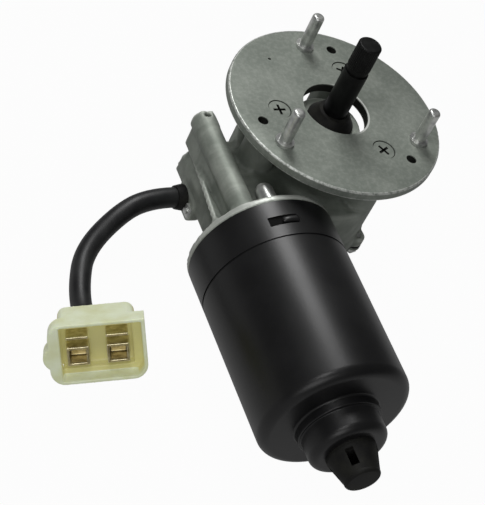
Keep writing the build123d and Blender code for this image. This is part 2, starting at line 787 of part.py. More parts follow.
def armature_shaft():
    shaft = disc(armature_shaft_radius, -armature_shaft_front, rear_bush_end)
    shaft = chamfer(shaft.edges().filter_by(GeomType.CIRCLE), armature_shaft_chamfer)
    shaft -= Pos(0, 0, thrust_ball_place) * Sphere(thrust_ball_radius)
    return shaft + worm_thread()


def thrust_ball():
    return Pos(0, 0, thrust_ball_place) * Sphere(thrust_ball_radius)


def slot_tool(start, end, gap):
    """The space of one core slot, centred on the X axis."""
    inner = core_radius - core_slot_lip - core_slot_depth
    outer = core_radius - core_slot_lip
    width = core_slot_width - 2 * gap
    taper = width * inner / outer
    outline = make_face(Polyline((inner, -taper / 2), (outer, -width / 2), (outer, width / 2),
                                 (inner, taper / 2), close=True))
    return Pos(0, 0, start) * extrude(outline, end - start)


def armature_core():
    core = ring(core_radius, armature_shaft_radius, core_start, core_start + core_length)
    mouth = Box(4 * core_slot_lip, core_slot_mouth, core_length)
    mouth = Pos(core_radius, 0, core_start + core_length / 2) * mouth
    slot = slot_tool(core_start, core_start + core_length, 0) + mouth
    return core - spread(slot, 0, core_slots, 0)


def armature_windings():
    """Copper in each slot, joined by the end turns at both ends of the core."""
    outer = core_radius - core_slot_lip
    start, end = core_start - winding_overhang, core_start + core_length + winding_overhang
    turns = []
    for low, high in ((start, core_start), (core_start + core_length, end)):
        bundle = ring(outer, winding_inner_radius, low, high)
        turns.append(fillet(bundle.edges().filter_by(GeomType.CIRCLE), winding_round))
    bars = spread(slot_tool(start + winding_round, end - winding_round, seat_gap), 0, core_slots, 0)
    return turns[0] + turns[1] + bars


def commutator():
    """Copper bars round the shaft, with a raised end that the windings are welded to."""
    body = ring(commutator_radius, armature_shaft_radius, commutator_start, commutator_end)
    body += ring(riser_radius, armature_shaft_radius, commutator_end - riser_length, commutator_end)
    slit_depth = riser_radius - commutator_radius + commutator_slit_depth
    slit = Pos(riser_radius, 0, (commutator_start + commutator_end) / 2) * Box(
        2 * slit_depth, commutator_slit_width, commutator_end - commutator_start)
    return body - spread(slit, 0, commutator_bars, 0)


def armature_bush(start, end):
    return ring(armature_bush_radius, armature_shaft_radius + running_gap, start, end)


def rear_bush_seat():
    """The ring that holds the rear bush in the nose of the can."""
    return ring(nose_radius - can_wall, armature_bush_radius, nose_neck_end - can_wall, rear_bush_end)


def thrust_screw():
    screw = disc(thrust_screw_radius, -thrust_boss_end, thrust_screw_front)
    slot = Box(2 * thrust_screw_radius, thrust_slot_width, 2 * thrust_slot_depth)
    return screw - Pos(0, 0, -thrust_boss_end) * slot


# ---- Brush gear ----


def brush_plate():
    plate = ring(can_inner_radius - seat_gap, brush_plate_bore, brush_plate_start,
                 brush_plate_start + brush_plate_thickness)
    bolt_hole = disc(bolt_radius + seat_gap, brush_plate_start, brush_plate_start + brush_plate_thickness)
    screw_hole = disc(flange_screw_radius, brush_plate_start, brush_plate_start + brush_plate_thickness)
    plate -= spread(bolt_hole, bolt_circle_radius, 2, bolt_angle)
    return plate - spread(screw_hole, bolt_circle_radius, 2, flange_screw_angle)


def brush_holders():
    """Brass boxes on the brush plate, open towards the commutator."""
    cavity_width, cavity_depth = brush_width + 2 * brush_gap, brush_depth + 2 * brush_gap
    body = Pos(holder_start + holder_length / 2, 0, brush_rise) * Box(
        holder_length, cavity_width + 2 * holder_wall, cavity_depth + 2 * holder_wall)
    cavity = Pos(holder_start + (holder_length - holder_wall) / 2, 0, brush_rise) * Box(
        holder_length - holder_wall, cavity_width, cavity_depth)
    return [Rot(0, 0, angle) * (body - cavity) for angle in brush_angles]


def brushes():
    """Carbon blocks, hollowed at the end that runs on the commutator."""
    middle = commutator_radius + brush_gap + brush_length / 2
    block = Pos(middle - 1, 0, brush_rise) * Box(brush_length + 2, brush_width, brush_depth)
    block -= disc(commutator_radius + brush_gap, brush_plate_start, commutator_end)
    return [Rot(0, 0, angle) * block for angle in brush_angles]


def brush_springs():
    """Coil springs between each brush and the back of its holder."""
    start = commutator_radius + brush_gap + brush_length + spring_wire_radius
    length = holder_start + holder_length - holder_wall - spring_wire_radius - start
    path = Helix(length / spring_turns, length, spring_radius)
    wire = Plane(origin=path @ 0, z_dir=path % 0) * Circle(spring_wire_radius)
    spring = Pos(start, 0, brush_rise) * Rot(0, 90, 0) * sweep(wire, path=path, is_frenet=True)
    return [Rot(0, 0, angle) * spring for angle in brush_angles]


# ---- Cable and connector ----


def cable_grommet():
    """The rubber grommet in the case wall, tapered along the cable."""
    outline = ((cord_radius - 1, -grommet_neck_length), (grommet_neck_radius, -grommet_neck_length),
               (grommet_neck_radius, 0), (grommet_radius, 0), (grommet_radius, grommet_length / 3),
               (grommet_tip_radius, grommet_length), (0, grommet_length), (0, 0), (cord_radius - 1, 0))
    return Pos(exit_x, -exit_place, exit_z) * Rot(0, -90, 0) * turned(*outline)


def tab_screw_place():
    return Pos(exit_x, -exit_place - grommet_radius - tab_height / 2, exit_z)


def tab_screw_shank():
    return tab_screw_place() * Rot(0, 90, 0) * disc(tab_screw_radius, 0, tab_screw_length)


def grommet_tab():
    """The small steel tab beside the grommet, with the hole of its screw."""
    tab = Pos(-tab_thickness / 2, 0, 0) * Box(tab_thickness, tab_height, tab_width)
    return tab_screw_place() * tab - tab_screw_place() * Rot(0, 90, 0) * disc(
        tab_screw_radius, -tab_thickness, 0)


def grommet_screw():
    head = Rot(0, 90, 0) * disc(tab_screw_head_radius, -tab_thickness - 1, -tab_thickness)
    shank = Rot(0, 90, 0) * disc(tab_screw_radius, -tab_thickness, tab_screw_length)
    return tab_screw_place() * (head + shank)


def connector_plane():
    """The connector's own frame: z out of its mouth, x across it, y up."""
    heading, lift = radians(connector_heading), radians(connector_lift)
    facing = Vector(cos(lift) * cos(heading), cos(lift) * sin(heading), sin(lift))
    across = Vector(0, 0, 1).cross(facing).normalized()
    rise = facing.cross(across)
    roll = radians(connector_roll)
    mouth = Vector(*connector_middle) + facing * (connector_length / 2)
    return Plane(origin=mouth, x_dir=across * cos(roll) + rise * sin(roll), z_dir=facing)


def cable():
    """The sleeved cable from the grommet's tip to the back of the connector, sagging between them."""
    start = Vector(exit_x - grommet_length, -exit_place, exit_z)
    entry = connector_plane().from_local_coords
    end = entry(Vector(-connector_entry_offset, 0, -connector_length))
    approach = entry(Vector(-connector_entry_offset, 0, -connector_length - cord_last_run))
    leave = start - Vector(cord_first_run, 0, 0)
    points = [start, leave] + [Vector(*point) for point in cord_points] + [approach, end]
    bends = []
    for before, corner, after in zip(points, points[1:], points[2:]):
        arriving, leaving = corner - before, after - corner
        half_turn = radians(arriving.get_angle(leaving)) / 2
        bends.append(cord_bend_share * min(arriving.length, leaving.length) / tan(half_turn))
    route = FilletPolyline(*points, radius=bends)
    section = Plane(origin=start, z_dir=points[1] - start) * Circle(cord_radius)
    tube = sweep(section, path=route)
    print("bend radii", [round(bend, 1) for bend in bends], "length", round(route.length, 1),
          "volume ratio", round(tube.volume / (pi * cord_radius ** 2 * route.length), 4))
    return tube


def hood_outline(wall):
    """The hood's outline, square only at its upper right corner, moved in by a wall."""
    shape = Rectangle(hood_width, hood_height)
    corners = shape.vertices()
    square = corners.sort_by_distance(Vector(hood_width / 2, hood_height / 2, 0))[0]
    shape = fillet([corner for corner in corners if corner is not square], hood_corner)
    return offset(shape, -wall) if wall else shape


def connector_housing():
    """A wide hood round the terminals, and a narrower back that the cable enters."""
    lug = Pos(-hood_width / 2 - hood_lug_stand + hood_lug_radius, -hood_lug_drop) * Circle(hood_lug_radius)
    housing = extrude(hood_outline(0) + lug, -hood_depth)
    back_rise = (hood_height - back_height) / 2
    back = RectangleRounded(back_width, back_height, back_corner)
    housing += Pos(0, back_rise, -hood_depth) * extrude(back, hood_depth - connector_length)
    inside = hood_outline(hood_thin_wall) & Pos(hood_thick_wall, 0) * Rectangle(hood_width, hood_height)
    housing -= extrude(inside, hood_thin_wall - hood_depth)
    left, right = hood_thick_wall - hood_width / 2, back_width / 2 - hood_thin_wall
    deep = Pos((left + right) / 2, back_rise) * Rectangle(right - left, back_height - 2 * hood_thin_wall)
    housing -= extrude(deep, connector_floor - connector_length)
    for x in (-terminal_spacing / 2, terminal_spacing / 2):
        blade = Box(terminal_width, terminal_thickness, connector_floor)
        box = Box(terminal_width, box_height, connector_floor)
        middle = -connector_length + connector_floor / 2
        housing -= Pos(x, blade_rise, middle) * blade + Pos(x, -box_drop, middle) * box
    return connector_plane() * housing


def connector_terminals():
    """Two flat blades above, and two folded boxes below."""
    start = -connector_length
    length = connector_floor + terminal_length
    terminals = []
    blade = Box(terminal_width, terminal_thickness, length)
    for x in (-terminal_spacing / 2, terminal_spacing / 2):
        terminals.append(Pos(x, blade_rise, start + length / 2) * blade)
        box = Box(terminal_width, box_height, length)
        hollow = Pos(0, 0, connector_floor / 2) * Box(
            terminal_width - 2 * terminal_thickness, box_height - 2 * terminal_thickness, terminal_length)
        terminals.append(Pos(x, -box_drop, start + length / 2) * (box - hollow))
    return [connector_plane() * terminal for terminal in terminals]


# ---- Every sub-part ----

os.makedirs("parts", exist_ok=True)
save("mounting_plate", mounting_plate())
save("mounting_studs", *mounting_studs())
save("plate_screws", *plate_screws())
save("gear_case", gear_case())
save("gear_cover", gear_cover())
save("cover_gasket", cover_gasket())
save("cover_screws", *cover_screws())
save("contact_carrier", contact_carrier())
save("contact_strips", *contact_strips())
save("worm_wheel", worm_wheel())
save("wheel_hub", wheel_hub())
save("park_disc", park_disc())
save("output_shaft", output_shaft())
save("shaft_clip", shaft_clip())
save("thrust_washers", *thrust_washers())
save("shaft_bushes", *shaft_bushes())
save("shaft_boot", shaft_boot())
save("motor_can", motor * motor_can())
save("end_cap", motor * end_cap())
save("through_bolts", *[motor * bolt for bolt in through_bolts()])
save("flange_screws", *[motor * screw for screw in flange_screws()])
save("magnets", *[motor * magnet for magnet in magnets()])
save("armature_shaft", motor * armature_shaft())
save("thrust_ball", motor * thrust_ball())
save("armature_core", motor * armature_core())
save("armature_windings", motor * armature_windings())
save("commutator", motor * commutator())
save("front_bush", motor * armature_bush(front_bush_start, front_bush_start + front_bush_length))
save("rear_bush", motor * armature_bush(rear_bush_start, rear_bush_end))
save("rear_bush_seat", motor * rear_bush_seat())
save("thrust_screw", motor * thrust_screw())
save("brush_plate", motor * brush_plate())
save("brush_holders", *[motor * holder for holder in brush_holders()])
save("brushes", *[motor * brush for brush in brushes()])
save("brush_springs", *[motor * spring for spring in brush_springs()])
save("cable_grommet", cable_grommet())
save("grommet_tab", grommet_tab())
save("grommet_screw", grommet_screw())
save("cable", cable())
save("connector_housing", connector_housing())
save("connector_terminals", *connector_terminals())
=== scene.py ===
import json
import math
import bpy
import bmesh
from mathutils import Matrix, Vector


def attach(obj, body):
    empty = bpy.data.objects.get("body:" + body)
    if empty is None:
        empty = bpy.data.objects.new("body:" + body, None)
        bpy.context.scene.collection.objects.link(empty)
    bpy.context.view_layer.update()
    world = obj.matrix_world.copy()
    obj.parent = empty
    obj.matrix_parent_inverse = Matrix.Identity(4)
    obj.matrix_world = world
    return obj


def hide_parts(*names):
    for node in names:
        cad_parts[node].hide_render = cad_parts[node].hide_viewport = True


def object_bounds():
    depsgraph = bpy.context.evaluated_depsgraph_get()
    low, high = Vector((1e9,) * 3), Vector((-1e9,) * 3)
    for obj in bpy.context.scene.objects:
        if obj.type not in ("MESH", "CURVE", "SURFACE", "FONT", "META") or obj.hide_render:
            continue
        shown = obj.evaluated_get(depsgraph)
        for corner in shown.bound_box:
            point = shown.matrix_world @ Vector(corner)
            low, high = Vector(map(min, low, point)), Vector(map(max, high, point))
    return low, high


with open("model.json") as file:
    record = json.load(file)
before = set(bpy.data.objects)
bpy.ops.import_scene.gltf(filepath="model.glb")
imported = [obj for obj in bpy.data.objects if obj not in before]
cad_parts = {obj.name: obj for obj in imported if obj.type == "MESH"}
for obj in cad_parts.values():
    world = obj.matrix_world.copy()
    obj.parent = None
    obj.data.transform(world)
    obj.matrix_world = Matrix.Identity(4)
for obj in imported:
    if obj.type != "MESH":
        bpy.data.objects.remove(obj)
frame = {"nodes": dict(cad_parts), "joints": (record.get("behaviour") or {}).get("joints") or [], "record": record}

# Lengths are in metres. The output shaft turns about z, and z = 0 is the upper face of the mounting plate.
# The motor lies along y, with its can at negative y.
nodes = frame["nodes"]
slotOf = {part["node"]: part["material_slot"] for part in frame["record"]["subparts"]}
mountOf = {mount["name"]: mount for mount in frame["record"]["mounts"]}
jointOf = {joint["name"]: joint for joint in frame["joints"]}
motorAxis = Vector(jointOf["armature_spin"]["pos_m"])
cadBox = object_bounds()
print("frame loaded,", len(nodes), "nodes")


class Wire:
    # one socket of a material; arithmetic on it adds Math nodes

    def __init__(self, tree, socket=None):
        self.tree, self.socket = tree, socket

    def node(self, kind, settings=None, sockets=None, out=0):
        made = self.tree.nodes.new(kind)
        for key, value in (settings or {}).items():
            setattr(made, key, value)
        for key, value in (sockets or {}).items():
            if isinstance(value, Wire):
                self.tree.links.new(value.socket, made.inputs[key])
            else:
                made.inputs[key].default_value = value
        return Wire(self.tree, made.outputs[out] if made.outputs else None)

    def mathNode(self, operation, other=0.0, swapped=False):
        first, second = (other, self) if swapped else (self, other)
        return self.node("ShaderNodeMath", {"operation": operation}, {0: first, 1: second})

    def __add__(self, other):
        return self.mathNode("ADD", other)

    def __radd__(self, other):
        return self.mathNode("ADD", other, True)

    def __sub__(self, other):
        return self.mathNode("SUBTRACT", other)

    def __rsub__(self, other):
        return self.mathNode("SUBTRACT", other, True)

    def __mul__(self, other):
        return self.mathNode("MULTIPLY", other)

    def __rmul__(self, other):
        return self.mathNode("MULTIPLY", other, True)

    def __gt__(self, other):
        return self.mathNode("GREATER_THAN", other)

    def __lt__(self, other):
        return self.mathNode("LESS_THAN", other)

    def __abs__(self):
        return self.mathNode("ABSOLUTE")

    def root(self):
        return self.mathNode("SQRT")

    def ramp(self, low, high):
        # 0 at low and 1 at high, with a soft step between them; low may be the larger one
        return self.node("ShaderNodeMapRange", {"clamp": True, "interpolation_type": "SMOOTHSTEP"},
                         {"Value": self, "From Min": low, "From Max": high})


def newFinish(name):
    material = bpy.data.materials.new(name)
    material.use_nodes = True
    material.node_tree.nodes.clear()
    return material, Wire(material.node_tree)


def place(wire, stretch=(1, 1, 1), turn=(0, 0, 0)):
    here = wire.node("ShaderNodeTexCoord", out="Object")
    return wire.node("ShaderNodeMapping", {}, {"Vector": here, "Scale": stretch, "Rotation": turn})


def along(wire, coords, axis, start=(0, 0, 0)):
    # how far a point lies from start, measured along axis
    dot = wire.node("ShaderNodeVectorMath", {"operation": "DOT_PRODUCT"}, {0: coords, 1: axis}, "Value")
    return dot - Vector(axis).dot(Vector(start))


def noise(wire, coords, scale, detail, rough, distortion=0.0):
    return wire.node("ShaderNodeTexNoise", {}, {"Vector": coords, "Scale": scale, "Detail": detail,
                                                "Roughness": rough, "Distortion": distortion})


def tint(wire, factor, first, second):
    # a Mix node for colours takes them at its sockets 6 and 7 and gives its own at 2
    first, second = (side if isinstance(side, Wire) else (*side, 1) for side in (first, second))
    return wire.node("ShaderNodeMix", {"data_type": "RGBA"}, {0: factor, 6: first, 7: second}, out=2)


def bump(wire, height, strength, depth):
    return wire.node("ShaderNodeBump", {}, {"Height": height, "Strength": strength, "Distance": depth})


def edgeWearAndShade(wire, colour, look):
    # Pointiness is 0.5 on a flat face, more on an outer edge and less in a corner
    bend = wire.node("ShaderNodeNewGeometry", out="Pointiness")
    # outer edges are lightened, partly as wear and partly as a painted highlight, and corners get a dark painted
    # shade
    colour = tint(wire, bend.ramp(*look["edges"]) * look["edgeWearAndHighlight"], colour, look["edge"])
    return tint(wire, bend.ramp(*look["corners"]) * look["cornerShadeShare"], colour, look["paintedShade"])


def shade(material, wire, sockets):
    surface = wire.node("ShaderNodeBsdfPrincipled", {}, sockets)
    wire.node("ShaderNodeOutputMaterial", {}, {"Surface": surface})
    return material


# In the looks below a noise is (scale, detail, roughness) and may have a distortion after them, a ramp is
# (low, high) and a relief is (strength, depth). A share says how much of its noise counts, and roughSpread
# how far the noise moves the roughness.

def plateFinish():
    look = {
        "dark": (0.188, 0.212, 0.184), "light": (0.335, 0.360, 0.321),
        "cloud": (38, 4, 0.6), "cloudRamp": (0.35, 0.68), "cloudShare": 0.45,
        "speck": (420, 3, 0.7), "speckRamp": (0.4, 0.66), "speckShare": 0.35,
        "grain": (1100, 2, 0.6), "grainShare": 0.2,
        # the zinc is lightened on the rim's two edges, speckled as wear and partly a painted highlight, and on one
        # side of the bore as a painted highlight
        "bright": (0.70, 0.72, 0.68), "brightSpecks": (0.3, 0.6),
        "rim": 0.0531, "middle": -0.0025, "rimFlat": 0.0015, "rimWearAndHighlight": 0.8,
        "boreRing": 0.0175, "boreSide": (0.002, 0.011), "boreHighlight": 0.9,
        # the walls of the bore and the holes get a dark painted shade between these two heights
        "wall": (0.020, 0.021, 0.018), "wallTop": -0.0005, "wallFoot": -0.0047,
        "rough": 0.46, "roughSpread": 0.16, "rimPolish": 0.12, "metallic": 0.45, "specular": 0.35,
        "scratch": (1.0, 2, 0.5), "scratchStretch": (60, 1400, 200), "scratchTurn": (0, 0, 0.6),
        "grainHeight": 0.6, "scratchHeight": 0.4, "relief": (0.14, 0.00012),
    }
    material, wire = newFinish("zincPlate")
    here = place(wire)
    cloud = noise(wire, here, *look["cloud"])
    grain = noise(wire, here, *look["grain"])
    speck = noise(wire, here, *look["speck"])
    scratch = noise(wire, place(wire, look["scratchStretch"], look["scratchTurn"]), *look["scratch"])
    x, y, z = (along(wire, here, axis) for axis in ((1, 0, 0), (0, 1, 0), (0, 0, 1)))
    radius = (x * x + y * y).root()
    mottled = (cloud.ramp(*look["cloudRamp"]) * look["cloudShare"] + grain * look["grainShare"]
               + speck.ramp(*look["speckRamp"]) * look["speckShare"])
    rim = (radius > look["rim"]) * (abs(z - look["middle"]) > look["rimFlat"])
    # light specks on the rim are wear and painted highlight; the lit side of the bore is a painted highlight
    bright = (rim * speck.ramp(*look["brightSpecks"]) * look["rimWearAndHighlight"]
              + (radius < look["boreRing"]) * x.ramp(*look["boreSide"]) * look["boreHighlight"])
    # painted shade on the walls of the bore and the holes
    walls = (radius < look["rim"]) * (z < look["wallTop"]) * (z > look["wallFoot"])
    zinc = tint(wire, bright, tint(wire, mottled, look["dark"], look["light"]), look["bright"])
    height = grain * look["grainHeight"] + scratch * look["scratchHeight"]
    return shade(material, wire, {
        "Base Color": tint(wire, walls, zinc, look["wall"]), "Metallic": look["metallic"],
        "Roughness": look["rough"] + cloud * look["roughSpread"] - rim * look["rimPolish"],
        "Specular IOR Level": look["specular"], "Normal": bump(wire, height, *look["relief"]),
    })


def castFinish():
    look = {
        "dark": (0.165, 0.187, 0.160), "light": (0.400, 0.428, 0.382),
        "cloud": (55, 5, 0.62), "cloudRamp": (0.3, 0.72), "cloudShare": 0.5,
        "flow": (1.0, 3, 0.6, 0.6), "flowRamp": (0.35, 0.7), "flowShare": 0.3,
        "flowStretch": (30, 120, 60), "flowTurn": (0.3, 0.2, 0.9),
        "grain": (620, 3, 0.65), "grainShare": 0.2,
        # edges lightened as wear and painted highlight; corners and creases darkened with painted shade
        "edge": (0.66, 0.69, 0.63), "edges": (0.505, 0.56), "edgeWearAndHighlight": 0.75,
        "paintedShade": (0.035, 0.038, 0.032), "corners": (0.495, 0.44), "cornerShadeShare": 0.85,
        # the flange is machined between these two places along the motor
        "machined": (0.62, 0.64, 0.60), "flangeBack": -0.0417, "flangeFace": -0.0442, "machiningShare": 0.7,
        "rough": 0.52, "roughSpread": 0.12, "machinedPolish": 0.16, "metallic": 0.35, "specular": 0.4,
        "grainHeight": 0.5, "cloudHeight": 0.5, "relief": (0.34, 0.0004),
    }
    material, wire = newFinish("castAluminium")
    here = place(wire)
    cloud = noise(wire, here, *look["cloud"])
    grain = noise(wire, here, *look["grain"])
    flow = noise(wire, place(wire, look["flowStretch"], look["flowTurn"]), *look["flow"])
    mottled = (cloud.ramp(*look["cloudRamp"]) * look["cloudShare"]
               + flow.ramp(*look["flowRamp"]) * look["flowShare"] + grain * look["grainShare"])
    raw = edgeWearAndShade(wire, tint(wire, mottled, look["dark"], look["light"]), look)
    y = along(wire, here, (0, 1, 0))
    machined = (y < look["flangeBack"]) * (y > look["flangeFace"])
    height = grain * look["grainHeight"] + cloud * look["cloudHeight"]
    return shade(material, wire, {
        "Base Color": tint(wire, machined * look["machiningShare"], raw, look["machined"]),
        "Metallic": look["metallic"],
        "Roughness": look["rough"] - machined * look["machinedPolish"] + grain * look["roughSpread"],
        "Specular IOR Level": look["specular"], "Normal": bump(wire, height, *look["relief"]),
    })


def canFinish():
    look = {
        "dark": (0.0042, 0.0042, 0.0046), "light": (0.0100, 0.0100, 0.0105),
        "cloud": (34, 4, 0.6), "cloudRamp": (0.3, 0.7), "cloudShare": 0.8,
        "speck": (1500, 1, 0.5), "speckRamp": (0.72, 0.80), "speckShare": 0.2,
        # within the slot, which lies deeper than this radius and nearer than this end, the paint is darkened with
        # a painted shade
        "slotShade": (0.0008, 0.0008, 0.0009), "slotRadius": 0.0354, "slotEnd": -0.0620, "slotRough": 0.6,
        "rough": 0.33, "roughSpread": 0.10, "specular": 0.35, "coat": 0.08, "coatRough": 0.3,
        "peel": (420, 2, 0.5), "relief": (0.10, 0.00015),
    }
    material, wire = newFinish("canPaint")
    here = place(wire)
    peel = noise(wire, here, *look["peel"])
    cloud = noise(wire, here, *look["cloud"])
    speck = noise(wire, here, *look["speck"]).ramp(*look["speckRamp"])
    mottled = cloud.ramp(*look["cloudRamp"]) * look["cloudShare"] + speck * look["speckShare"]
    x, z = (along(wire, here, axis, motorAxis) for axis in ((1, 0, 0), (0, 0, 1)))
    slot = ((x * x + z * z).root() < look["slotRadius"]) * (along(wire, here, (0, 1, 0)) > look["slotEnd"])
    return shade(material, wire, {
        # painted shade on the slot's floor
        "Base Color": tint(wire, slot, tint(wire, mottled, look["dark"], look["light"]), look["slotShade"]),
        "Roughness": look["rough"] + cloud * look["roughSpread"] + slot * look["slotRough"],
        "Specular IOR Level": look["specular"], "Coat Weight": look["coat"] - slot * look["coat"],
        "Coat Roughness": look["coatRough"], "Normal": bump(wire, peel, *look["relief"]),
    })


def nylonFinish():
    look = {
        "pale": (0.58, 0.62, 0.46), "deep": (0.50, 0.52, 0.31),
        "cloud": (80, 3, 0.6), "cloudRamp": (0.3, 0.75),
        # within the mouth, which is this wide and high to each side of its middle, the nylon is darker and
        # yellower further in, a painted shade
        "inside": (0.46, 0.42, 0.15), "insideShare": 0.85, "insideRamp": (-0.0008, -0.0060),
        "across": (0.9067, -0.2288, 0.3543), "mouthWide": 0.0193,
        "rise": (-0.1859, 0.5373, 0.8227), "mouthHigh": 0.0119,
        "rough": 0.32, "roughSpread": 0.16, "coat": 0.10, "coatRough": 0.28,
        # the nylon also glows a little in its own colour, a painted glow that stands in for light passing through
        # its walls
        "scatter": 0.35, "scatterRadius": (0.6, 0.7, 0.4), "scatterScale": 0.004, "glow": 0.34,
        "grain": (700, 2, 0.5), "relief": (0.12, 0.00015),
    }
    mouth = mountOf["connector_mouth"]
    material, wire = newFinish("milkyNylon")
    here = place(wire)
    cloud = noise(wire, here, *look["cloud"])
    grain = noise(wire, here, *look["grain"])
    wide, high, out = (along(wire, here, axis, mouth["pos_m"])
                       for axis in (look["across"], look["rise"], mouth["axis"]))
    # painted shade that deepens further into the mouth
    inner = (abs(wide) < look["mouthWide"]) * (abs(high) < look["mouthHigh"]) * out.ramp(*look["insideRamp"])
    outer = tint(wire, cloud.ramp(*look["cloudRamp"]), look["pale"], look["deep"])
    colour = tint(wire, inner * look["insideShare"], outer, look["inside"])
    return shade(material, wire, {
        "Base Color": colour, "Roughness": look["rough"] + cloud * look["roughSpread"],
        "Subsurface Weight": look["scatter"], "Subsurface Radius": look["scatterRadius"],
        "Subsurface Scale": look["scatterScale"],
        # painted glow for the light that passes through the walls
        "Emission Color": colour, "Emission Strength": look["glow"],
        "Coat Weight": look["coat"], "Coat Roughness": look["coatRough"],
        "Normal": bump(wire, grain, *look["relief"]),
    })


def brassFinish():
    look = {
        "dark": (0.30, 0.23, 0.08), "light": (0.66, 0.57, 0.31),
        "cloud": (240, 4, 0.6), "cloudRamp": (0.3, 0.72),
        # edges lightened as wear and painted highlight; hollows darkened brown with painted shade
        "edge": (0.95, 0.90, 0.68), "edges": (0.51, 0.56), "edgeWearAndHighlight": 0.9,
        "paintedShade": (0.12, 0.065, 0.015), "corners": (0.49, 0.43), "cornerShadeShare": 0.9,
        "rough": 0.22, "roughSpread": 0.16, "metallic": 0.75, "relief": (0.2, 0.0002),
    }
    material, wire = newFinish("brass")
    cloud = noise(wire, place(wire), *look["cloud"])
    sheet = tint(wire, cloud.ramp(*look["cloudRamp"]), look["dark"], look["light"])
    return shade(material, wire, {
        "Base Color": edgeWearAndShade(wire, sheet, look), "Metallic": look["metallic"],
        "Roughness": look["rough"] + cloud * look["roughSpread"],
        "Normal": bump(wire, cloud, *look["relief"]),
    })


# what a plain finish has unless it says otherwise: clouds for the colour and marks for the relief
plainLook = {
    "cloud": (180, 4, 0.6), "cloudRamp": (0.3, 0.72), "cloudShare": 1.0,
    "marks": (1440, 2, 0.5), "stretch": (1, 1, 1), "relief": (0.14, 0.0001),
    "metallic": 0.0, "roughSpread": 0.16, "specular": 0.5,
}
plainLooks = {
    "bright_steel": {
        "name": "brightSteel", "dark": (0.42, 0.43, 0.42), "light": (0.72, 0.73, 0.70), "rough": 0.26,
        "cloud": (220, 3, 0.6), "cloudRamp": (0.3, 0.7), "metallic": 0.8,
        "marks": (1.0, 1, 0.5), "stretch": (40, 40, 5200), "relief": (0.12, 0.00005),
    },
    "black_steel": {
        "name": "blackSteel", "dark": (0.0020, 0.0022, 0.0022), "light": (0.012, 0.013, 0.012), "rough": 0.38,
        "cloud": (260, 4, 0.6), "cloudRamp": (0.45, 0.75), "cloudShare": 0.6,
        "roughSpread": 0.14, "specular": 0.2,
        "marks": (1.0, 1, 0.5), "stretch": (30, 30, 3800), "relief": (0.15, 0.00006),
    },
    "black_rubber": {
        "name": "blackRubber", "dark": (0.005, 0.005, 0.005), "light": (0.016, 0.016, 0.013), "rough": 0.52,
        "cloud": (120, 4, 0.6), "cloudRamp": (0.3, 0.75), "roughSpread": 0.2, "specular": 0.2,
        "marks": (1600, 2, 0.5), "relief": (0.2, 0.0001),
    },
    "cable_sleeve": {
        "name": "cableSleeve", "dark": (0.007, 0.007, 0.008), "light": (0.022, 0.023, 0.023), "rough": 0.36,
        "cloud": (60, 3, 0.6), "cloudRamp": (0.3, 0.7), "roughSpread": 0.2, "specular": 0.45,
        "marks": (300, 3, 0.6, 0.4), "relief": (0.25, 0.0003),
    },
    "gasket_sheet": {
        "name": "gasketSheet", "dark": (0.03, 0.03, 0.03), "light": (0.07, 0.07, 0.065), "rough": 0.6,
    },
    "bronze": {
        "name": "sinteredBronze", "dark": (0.33, 0.20, 0.09), "light": (0.52, 0.34, 0.16), "rough": 0.34,
        "metallic": 0.9,
    },
    "copper": {
        "name": "copper", "dark": (0.42, 0.15, 0.07), "light": (0.70, 0.30, 0.15), "rough": 0.28,
        "metallic": 0.9,
    },
    "gear_nylon": {
        "name": "gearNylon", "dark": (0.62, 0.58, 0.44), "light": (0.76, 0.72, 0.58), "rough": 0.40,
    },
    "carrier_plastic": {
        "name": "carrierPlastic", "dark": (0.02, 0.02, 0.02), "light": (0.05, 0.05, 0.05), "rough": 0.45,
    },
    "board": {
        "name": "laminatedBoard", "dark": (0.14, 0.06, 0.02), "light": (0.24, 0.11, 0.045), "rough": 0.5,
    },
    "carbon": {
        "name": "carbon", "dark": (0.02, 0.02, 0.022), "light": (0.05, 0.05, 0.055), "rough": 0.42,
        "metallic": 0.1,
    },
    "ferrite": {
        "name": "ferrite", "dark": (0.03, 0.03, 0.034), "light": (0.07, 0.07, 0.075), "rough": 0.5,
        "metallic": 0.1,
    },
    "core_steel": {
        "name": "coreSteel", "dark": (0.16, 0.165, 0.18), "light": (0.30, 0.31, 0.33), "rough": 0.4,
        "metallic": 0.8,
    },
}


def plainFinish(own):
    look = {**plainLook, **own}
    material, wire = newFinish(look["name"])
    cloud = noise(wire, place(wire), *look["cloud"])
    marks = noise(wire, place(wire, look["stretch"]), *look["marks"])
    mottled = cloud.ramp(*look["cloudRamp"]) * look["cloudShare"]
    return shade(material, wire, {
        "Base Color": tint(wire, mottled, look["dark"], look["light"]), "Metallic": look["metallic"],
        "Roughness": look["rough"] + cloud * look["roughSpread"],
        "Specular IOR Level": look["specular"], "Normal": bump(wire, marks, *look["relief"]),
    })


finishes = {slotName: plainFinish(look) for slotName, look in plainLooks.items()}
finishes["plate_steel"] = plateFinish()
finishes["cast_aluminium"] = castFinish()
finishes["can_paint"] = canFinish()
finishes["milky_nylon"] = nylonFinish()
finishes["brass"] = brassFinish()
print("finishes made,", len(finishes))


def paint(piece, slotName):
    piece.data.materials.clear()
    piece.data.materials.append(finishes[slotName])


nodeValues = {"mergeDistance": 1e-6, "sharpAngle": 28}

for name, node in nodes.items():
    paint(node, slotOf[name])
    for face in node.data.polygons:
        face.use_smooth = True
    node.modifiers.new("weld", "WELD").merge_threshold = nodeValues["mergeDistance"]
    node.modifiers.new("edges", "EDGE_SPLIT").split_angle = math.radians(nodeValues["sharpAngle"])
paint(nodes["plate_screws"], "plate_steel")  # zinc plated like the plate they sink into
print("finishes on every node")


